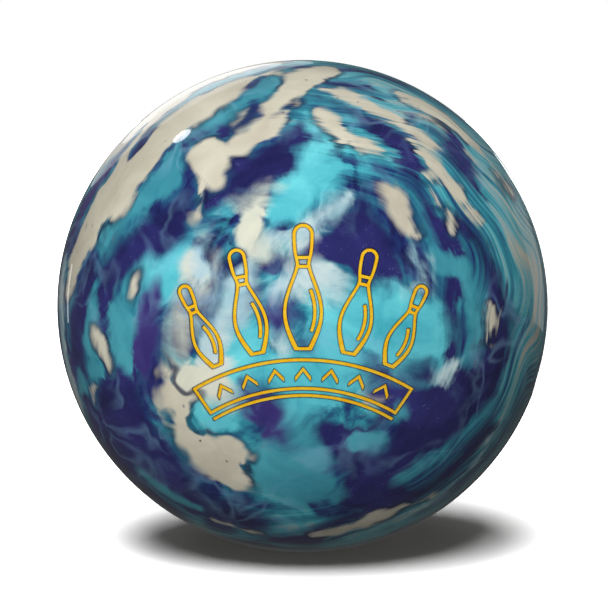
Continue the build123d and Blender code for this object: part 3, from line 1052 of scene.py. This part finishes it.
class DowelWoodFinish(Finish):
    """Turned birch with its grain along the dowel."""

    def __init__(self, effects: Effects) -> None:
        """Builds the graph, with the grain stretched along the pin axis.

        Args:
            effects: The shared node groups.
        """
        super().__init__("dowel_birch", effects)
        wiring = self.wiring
        along = wiring.vector("MULTIPLY", self.place, (520.0, 520.0, 22.0))
        fibres = wiring.cloud(along, 1.0, detail=6.0, roughness=0.62).outputs["Fac"]
        rings = wiring.add(
            "ShaderNodeTexWave",
            {"Vector": self.place, "Scale": 70.0, "Distortion": 5.0, "Detail": 3.0, "Detail Scale": 2.0},
            wave_type="RINGS",
            rings_direction="X",
        ).outputs["Fac"]
        mixed = wiring.math("MULTIPLY_ADD", fibres, 0.65, wiring.math("MULTIPLY", rings, 0.35))
        colour = wiring.ramp(mixed, (
            (0.25, shade(150, 108, 62)),
            (0.5, shade(196, 158, 106)),
            (0.8, shade(222, 190, 142)),
        ))
        haze = wiring.use(effects.haze, place=self.place, scale=150.0, least=0.55, most=0.75)
        self.set(base_color=colour, roughness=haze.outputs["Roughness"], normal=self.bump(fibres, 0.12 * MM))


# ---------------------------------------------------------------------------------------------------------
# Coverstock
# ---------------------------------------------------------------------------------------------------------


@dataclass(frozen=True)
class Inlay:
    """A CAD piece that fills a groove or a hole in the coverstock, as the shape to cut away for it.

    Attributes:
        node: The CAD node.
        mouth: The direction in which the groove or hole opens, as a unit vector.
        overrun: How far the cut runs past the surface, in metres.
        through: Whether the hole runs on into the ball's inside.
    """

    node: str
    mouth: tuple[float, float, float]
    overrun: float = 1.0 * MM
    through: bool = False

    def cutter(self, into: bmesh.types.BMesh) -> None:
        """Adds the shape to cut away to a mesh.

        Args:
            into: The mesh that gathers every cut.
        """
        part = bmesh.new()
        part.from_mesh(frame["nodes"][self.node].data)
        bmesh.ops.remove_doubles(part, verts=part.verts, dist=WELD_GAP)
        radii = [vertex.co.length for vertex in part.verts]
        middle = (min(radii) + max(radii)) / 2
        slide = Vector(self.mouth) * self.overrun
        for vertex in part.verts:
            if vertex.co.length > middle:
                vertex.co += slide
            elif self.through:
                vertex.co -= slide
        mesh = bpy.data.meshes.new("cut")
        part.to_mesh(mesh)
        part.free()
        into.from_mesh(mesh)
        bpy.data.meshes.remove(mesh)


@dataclass
class Coverstock:
    """The marbled outer shell, cut for its engraving and its plugs.

    Attributes:
        finish: The marbled resin.
        plan: The pours that make up its pattern.
        outer_radius: The ball's radius, in metres.
        inner_radius: The radius of the core inside it, in metres.
        cells: How many cells the outer surface has along each edge of the cube that it is spread from.
        inner_cells: The same for the inner surface, which nobody sees.
        node: The CAD node that it stands for.
    """

    finish: MarbledResinFinish
    plan: PourPlan
    outer_radius: float
    inner_radius: float
    cells: int = 112
    inner_cells: int = 20
    node: str = "coverstock"

    def wall_tree(self) -> bpy.types.NodeTree:
        """Builds the Geometry Nodes tree that spreads two cubes of cells into a hollow ball.

        Returns:
            The tree, with the radii, cells and material as its inputs.
        """
        tree = bpy.data.node_groups.new("coverstock_wall", "GeometryNodeTree")
        for label, kind in (("Outer Radius", "Float"), ("Inner Radius", "Float"), ("Outer Points", "Int"),
                            ("Inner Points", "Int"), ("Finish", "Material")):
            tree.interface.new_socket(name=label, in_out="INPUT", socket_type=f"NodeSocket{kind}")
        tree.interface.new_socket(name="Geometry", in_out="OUTPUT", socket_type="NodeSocketGeometry")
        wiring = Wiring(tree)
        given = wiring.add("NodeGroupInput").outputs
        join = wiring.add("GeometryNodeJoinGeometry")
        for side in ("Inner", "Outer"):
            points = given[f"{side} Points"]
            cube = wiring.add("GeometryNodeMeshCube", {"Size": (2.0, 2.0, 2.0), "Vertices X": points,
                                                       "Vertices Y": points, "Vertices Z": points})
            # the tangent makes the cells about the same size all over the ball
            corner = wiring.scaled(wiring.add("GeometryNodeInputPosition").outputs[0], pi / 4)
            spread = wiring.vector("TANGENT", corner)
            ball = wiring.scaled(wiring.vector("NORMALIZE", spread), given[f"{side} Radius"])
            wall = wiring.add("GeometryNodeSetPosition", {"Geometry": cube.outputs["Mesh"], "Position": ball})
            surface = wall.outputs["Geometry"]
            if side == "Inner":
                surface = wiring.add("GeometryNodeFlipFaces", {"Mesh": surface}).outputs["Mesh"]
            wiring.feed(join.inputs["Geometry"], surface)
        smooth = wiring.add("GeometryNodeSetShadeSmooth", {"Geometry": join.outputs["Geometry"]})
        real = wiring.add("GeometryNodeRealizeInstances", {"Geometry": smooth.outputs["Geometry"]})
        inputs = {"Geometry": real.outputs["Geometry"], "Material": given["Finish"]}
        dressed = wiring.add("GeometryNodeSetMaterial", inputs)
        output = wiring.add("NodeGroupOutput")
        wiring.feed(output.inputs["Geometry"], dressed.outputs["Geometry"])
        return tree

    def hollow_ball(self) -> bpy.types.Object:
        """Makes the uncut shell as a plain mesh.

        Returns:
            The shell's object.
        """
        ball = bpy.data.objects.new("marbled_coverstock", bpy.data.meshes.new("marbled_coverstock"))
        bpy.context.scene.collection.objects.link(ball)
        modifier = ball.modifiers.new("wall", "NODES")
        modifier.node_group = self.wall_tree()
        values = {"Outer Radius": self.outer_radius, "Inner Radius": self.inner_radius,
                  "Outer Points": self.cells + 1, "Inner Points": self.inner_cells + 1,
                  "Finish": self.finish.material}
        for item in modifier.node_group.interface.items_tree:
            if item.in_out == "INPUT":
                modifier[item.identifier] = values[item.name]
        settle(ball)
        return ball

    def inlays(self) -> list[Inlay]:
        """Lists what is let into the shell.

        Returns:
            The inlays, each with the direction that its cut opens in.
        """
        found = []
        for node in frame["nodes"]:
            if node.startswith("front_emblem"):
                found.append(Inlay(node, (0.0, -1.0, 0.0)))
            elif node.startswith("side_emblem"):
                found.append(Inlay(node, (1.0, 0.0, 0.0)))
        for node in ("pin_plug", "mass_bias_marker", "balance_marker"):
            low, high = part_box(node)
            found.append(Inlay(node, tuple((low + high).normalized()), through=node == "pin_plug"))
        return found

    def cut(self, ball: bpy.types.Object) -> None:
        """Cuts the grooves and holes out of the shell.

        Args:
            ball: The shell's object.
        """
        gathered = bmesh.new()
        for inlay in self.inlays():
            inlay.cutter(gathered)
        tool = bpy.data.objects.new("cutter", bpy.data.meshes.new("cutter"))
        gathered.to_mesh(tool.data)
        gathered.free()
        bpy.context.scene.collection.objects.link(tool)
        boolean = ball.modifiers.new("cut", "BOOLEAN")
        boolean.operation = "DIFFERENCE"
        boolean.solver = "EXACT"
        boolean.object = tool
        settle(ball)
        bpy.data.objects.remove(tool)

    def aim_normals(self, ball: bpy.types.Object) -> None:
        """Turns the round surfaces' normals straight out, and keeps those of the cuts flat.

        Args:
            ball: The shell's object.
        """
        mesh = ball.data
        places = points_of(mesh)
        radii = np.linalg.norm(places, axis=1)
        slack = 0.05 * MM
        aimed = np.zeros((len(mesh.loops), 3))
        for face in mesh.polygons:
            corners = list(face.vertices)
            if radii[corners].min() > self.outer_radius - slack:
                normals = places[corners] / radii[corners][:, None]
            elif radii[corners].max() < self.inner_radius + slack:
                normals = -places[corners] / radii[corners][:, None]
            else:
                normals = np.tile(face.normal, (len(corners), 1))
            aimed[face.loop_start:face.loop_start + face.loop_total] = normals
        mesh.polygons.foreach_set("use_smooth", np.ones(len(mesh.polygons), bool))
        mesh.normals_split_custom_set(aimed.astype(np.float32))

    def lay_pattern(self, ball: bpy.types.Object) -> None:
        """Stores each resin's reach, the stream value and the streakiness on the mesh's points.

        Args:
            ball: The shell's object.
        """
        mesh = ball.data
        places = points_of(mesh)
        places /= np.linalg.norm(places, axis=1)[:, None]
        values = {resin.value.label: reach for resin, reach in self.plan.reaches(places).items()}
        values["stream"] = self.plan.stream(places)
        values["streakiness"] = self.plan.streakiness(places)
        for label, value in values.items():
            attribute = mesh.attributes.new(label, "FLOAT", "POINT")
            attribute.data.foreach_set("value", value.astype(np.float32))

    def build(self) -> bpy.types.Object:
        """Makes the shell, and sets it on the CAD body in place of the CAD coverstock.

        Returns:
            The finished piece.
        """
        ball = self.hollow_ball()
        self.cut(ball)
        self.aim_normals(ball)
        self.lay_pattern(ball)
        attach(ball, BODY)
        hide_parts(self.node)
        # the ball throws no coloured light on the floor, so its shadow stays neutral
        ball.visible_diffuse = False
        log.info("coverstock: %d faces", len(ball.data.polygons))
        return ball


def points_of(mesh: bpy.types.Mesh) -> np.ndarray:
    """The places of a mesh's points, one a row.

    Args:
        mesh: The mesh.

    Returns:
        The places, in metres.
    """
    places = np.empty(len(mesh.vertices) * 3, np.float32)
    mesh.vertices.foreach_get("co", places)
    return places.reshape(-1, 3).astype(float)


def settle(piece: bpy.types.Object) -> None:
    """Turns a piece's modifiers into its plain mesh.

    Args:
        piece: The piece's object.
    """
    evaluated = piece.evaluated_get(bpy.context.evaluated_depsgraph_get())
    mesh = bpy.data.meshes.new_from_object(evaluated)
    piece.modifiers.clear()
    old, piece.data = piece.data, mesh
    mesh.name = piece.name
    bpy.data.meshes.remove(old)


# ---------------------------------------------------------------------------------------------------------
# The pieces that keep their CAD shapes
# ---------------------------------------------------------------------------------------------------------


@dataclass
class CastParts:
    """The core, weight block, dowel, plugs and paint, each dressed in its own finish.

    Attributes:
        effects: The shared node groups.
    """

    effects: Effects

    def finishes(self) -> dict[str, Finish]:
        """Makes one finish for each of the record's material slots.

        Returns:
            The finishes by slot.
        """
        pin = PlugLook("pin_resin", shade(214, 122, 14), shade(248, 176, 62))
        marker = PlugLook("marker_resin", shade(214, 207, 188), shade(240, 236, 220))
        core = CastLook("outer_core_filler", shade(176, 172, 160), shade(140, 137, 128), shade(226, 222, 212),
                        900.0)
        bulb = CastLook("bulb_casting", shade(186, 70, 38), shade(140, 44, 26), shade(232, 170, 130), 700.0)
        flip = CastLook("flip_casting", shade(52, 98, 146), shade(30, 64, 106), shade(150, 190, 214), 700.0)
        lobe = CastLook("lobe_casting", shade(208, 160, 52), shade(164, 116, 30), shade(244, 218, 150), 700.0)
        return {
            "pin_plug_resin": PlugResinFinish(pin, self.effects),
            "marker_plug_resin": PlugResinFinish(marker, self.effects),
            "engraving_paint": EngravingPaintFinish(self.effects),
            "outer_core_filler": CastFillerFinish(core, self.effects),
            "weight_block_casting": CastFillerFinish(bulb, self.effects),
            "flip_block_casting": CastFillerFinish(flip, self.effects),
            "side_lobe_casting": CastFillerFinish(lobe, self.effects),
            "dowel_wood": DowelWoodFinish(self.effects),
        }

    def build(self) -> None:
        """Gives each CAD piece but the coverstock the finish of its slot."""
        finishes = self.finishes()
        for part in frame["record"]["subparts"]:
            slot = part["material_slot"]
            if slot in finishes:
                node = frame["nodes"][part["node"]]
                for place in node.material_slots:
                    place.material = finishes[slot].material
                log.info("%s: %s", part["node"], slot)


# ---------------------------------------------------------------------------------------------------------
# Studio
# ---------------------------------------------------------------------------------------------------------


def hang(light: bpy.types.Light, receivers: bpy.types.Collection) -> bpy.types.Object:
    """Puts a light in the scene.

    Args:
        light: The light.
        receivers: The collection that says what it lights.

    Returns:
        The light's object.
    """
    lamp = bpy.data.objects.new(light.name, light)
    bpy.context.scene.collection.objects.link(lamp)
    lamp.light_linking.receiver_collection = receivers
    return lamp


@dataclass(frozen=True)
class Panel:
    """A light panel that only shows as a reflection in the ball.

    Attributes:
        name: The light's name.
        clock: Where it stands, in degrees clockwise from above, facing the front.
        out: Its angle from the front axis, in degrees.
        spread: The angles that it fills along its clock circle and away from the front axis, in degrees.
        radiance: How bright it looks, where white paper in full light is 1.
        shape: RECTANGLE or ELLIPSE.
        distance: How far it is from the ball's centre, in metres.
    """

    name: str
    clock: float
    out: float
    spread: tuple[float, float]
    radiance: float
    shape: str = "RECTANGLE"
    distance: float = 1.4

    def build(self, receivers: bpy.types.Collection) -> None:
        """Makes the area light, aimed at the ball's centre.

        Args:
            receivers: The collection that says what it lights.
        """
        data = bpy.data.lights.new(self.name, "AREA")
        data.shape = self.shape
        data.size, data.size_y = (2 * self.distance * tan(radians(angle / 2)) for angle in self.spread)
        area = data.size * data.size_y * (pi / 4 if self.shape == "ELLIPSE" else 1.0)
        data.energy = self.radiance * pi * area
        lamp = hang(data, receivers)
        backward = Vector(direction(self.clock, self.out))
        sideways = Vector((0.0, -1.0, 0.0)).cross(backward).normalized()
        upward = backward.cross(sideways)
        turned = Matrix((sideways, upward, backward)).transposed().to_4x4()
        lamp.matrix_world = Matrix.Translation(backward * self.distance) @ turned
        lamp.visible_camera = False
        lamp.visible_diffuse = False


@dataclass(frozen=True)
class Beam:
    """A broad, far light that shows in no reflection.

    Attributes:
        name: The light's name.
        clock: Where it comes from, in degrees clockwise from above, facing the front.
        out: Its angle from the front axis, in degrees.
        level: How bright it makes white paper that faces it, where 1 is white.
        spread: The angle that it fills, in degrees.
    """

    name: str
    clock: float
    out: float
    level: float
    spread: float

    def build(self, receivers: bpy.types.Collection) -> None:
        """Makes the sun light.

        Args:
            receivers: The collection that says what it lights.
        """
        data = bpy.data.lights.new(self.name, "SUN")
        data.energy = self.level * pi
        data.angle = radians(self.spread)
        lamp = hang(data, receivers)
        lamp.rotation_mode = "QUATERNION"
        lamp.rotation_quaternion = Vector(direction(self.clock, self.out)).to_track_quat("Z", "Y")
        lamp.visible_glossy = False


FLOOR_BEAMS = (
    Beam("floor_front", 354, 54, 1.6, 34),
    Beam("floor_top", 352, 80, 1.35, 38),
)
BALL_BEAMS = (
    Beam("key", 334, 30, 0.93, 40),
    Beam("top", 350, 80, 0.10, 60),
    Beam("low_fill", 180, 75, 0.05, 60),
    Beam("right_fill", 120, 85, 0.16, 60),
    Beam("back_fill", 20, 150, 0.68, 60),
)
REFLECTED_PANELS = (
    Panel("glint", 323.5, 111.5, (5.6, 6.0), 8.0, "ELLIPSE"),
    Panel("rim", 329, 152, (22, 28), 0.7, "ELLIPSE"),
    Panel("rim_halo", 326, 151, (32, 38), 0.5, "ELLIPSE"),
    Panel("right_window", 84, 139, (22, 18), 0.3),
    Panel("right_strip", 93, 161, (20, 5), 3.0),
    Panel("left_strip", 268, 136, (10, 2), 1.4),
)


@dataclass
class Studio:
    """The pale floor, the lights and the camera.

    Attributes:
        ball_radius: The ball's radius, in metres.
        lens: The camera's focal length, in millimetres.
        sensor: The camera's sensor width, in millimetres.
        elevation: How far above the horizon the camera is, in degrees.
        fill_share: The ball's radius in the view, as a share of half the view's width.
        shift: How far the view is moved, as shares of its width.
        ambient: How bright the surroundings are to all but the camera.
        floor_size: The floor's width, in metres.
        floor_tone: How much of the light the floor throws back, as a share.
    """

    ball_radius: float
    lens: float = 135.0
    sensor: float = 36.0
    elevation: float = 5.0
    fill_share: float = 0.809
    shift: tuple[float, float] = (0.0016, 0.0033)
    ambient: float = 0.06
    floor_size: float = 60.0
    floor_tone: float = 0.94

    def floor(self) -> bpy.types.Object:
        """Makes a pale floor under the ball, which throws no light back up at it.

        Returns:
            The floor's object.
        """
        mesh = bpy.data.meshes.new("floor")
        half = self.floor_size / 2
        level = -self.ball_radius
        corners = [(-half, -half, level), (half, -half, level), (half, half, level), (-half, half, level)]
        mesh.from_pydata(corners, [], [(0, 1, 2, 3)])
        plane = bpy.data.objects.new("floor", mesh)
        bpy.context.scene.collection.objects.link(plane)
        material = bpy.data.materials.new("studio_floor")
        material.use_nodes = True
        shader = material.node_tree.nodes["Principled BSDF"]
        shader.inputs["Base Color"].default_value = (self.floor_tone, self.floor_tone, self.floor_tone, 1.0)
        shader.inputs["Roughness"].default_value = 1.0
        shader.inputs["Specular IOR Level"].default_value = 0.0
        mesh.materials.append(material)
        plane.visible_diffuse = False
        plane.visible_glossy = False
        return plane

    def surroundings(self) -> None:
        """Makes a world that is white to look at but gives only a dim, even fill."""
        world = bpy.data.worlds.new("studio")
        bpy.context.scene.world = world
        world.use_nodes = True
        world.node_tree.nodes.clear()
        wiring = Wiring(world.node_tree)
        seen = wiring.add("ShaderNodeLightPath").outputs["Is Camera Ray"]
        strength = wiring.remap(seen, 0, 1, self.ambient, 1.0)
        background = wiring.add("ShaderNodeBackground", {"Color": (1.0, 1.0, 1.0, 1.0), "Strength": strength})
        output = wiring.add("ShaderNodeOutputWorld")
        wiring.feed(output.inputs["Surface"], background.outputs["Background"])

    def linking(self, name: str, floor: bpy.types.Object, state: str) -> bpy.types.Collection:
        """Makes a light linking collection.

        Args:
            name: The collection's name.
            floor: The floor's object.
            state: INCLUDE to light only the floor, or EXCLUDE to light all but the floor.

        Returns:
            The collection.
        """
        collection = bpy.data.collections.new(name)
        collection.objects.link(floor)
        collection.collection_objects[0].light_linking.link_state = state
        return collection

    def lights(self, floor: bpy.types.Object) -> None:
        """Makes the lights: two for the floor and its shadow, and the others for the ball.

        Args:
            floor: The floor's object.
        """
        floor_only = self.linking("lit_floor", floor, "INCLUDE")
        all_but_floor = self.linking("spared_floor", floor, "EXCLUDE")
        for beam in FLOOR_BEAMS:
            beam.build(floor_only)
        for light in BALL_BEAMS + REFLECTED_PANELS:
            light.build(all_but_floor)

    def camera(self) -> None:
        """Makes the camera, as far off as gives the ball its size in the view."""
        half_angle = atan(self.fill_share * self.sensor / 2 / self.lens)
        distance = self.ball_radius / sin(half_angle)
        data = bpy.data.cameras.new("camera")
        data.lens = self.lens
        data.sensor_width = self.sensor
        data.shift_x, data.shift_y = self.shift
        camera = bpy.data.objects.new("camera", data)
        bpy.context.scene.collection.objects.link(camera)
        tilt = radians(self.elevation)
        camera.location = (0.0, -distance * cos(tilt), distance * sin(tilt))
        camera.rotation_euler = (pi / 2 - tilt, 0.0, 0.0)
        bpy.context.scene.camera = camera

    def build(self) -> None:
        """Sets up the whole studio."""
        floor = self.floor()
        self.surroundings()
        self.lights(floor)
        self.camera()
        bpy.context.scene.view_settings.view_transform = "Standard"
        log.info("studio: ready")


def main() -> None:
    """Builds the ball's pieces in order, then the studio."""
    logging.basicConfig(level=logging.INFO, format="%(name)s %(message)s")
    low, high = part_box("coverstock")
    core_low, core_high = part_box("outer_core")
    effects = Effects()
    outer_radius = (high.z - low.z) / 2
    Coverstock(
        finish=MarbledResinFinish(effects),
        plan=PourPlan(),
        outer_radius=outer_radius,
        inner_radius=(core_high.x - core_low.x) / 2,
    ).build()
    CastParts(effects).build()
    Studio(ball_radius=outer_radius).build()


if __name__ == "__main__":
    main()
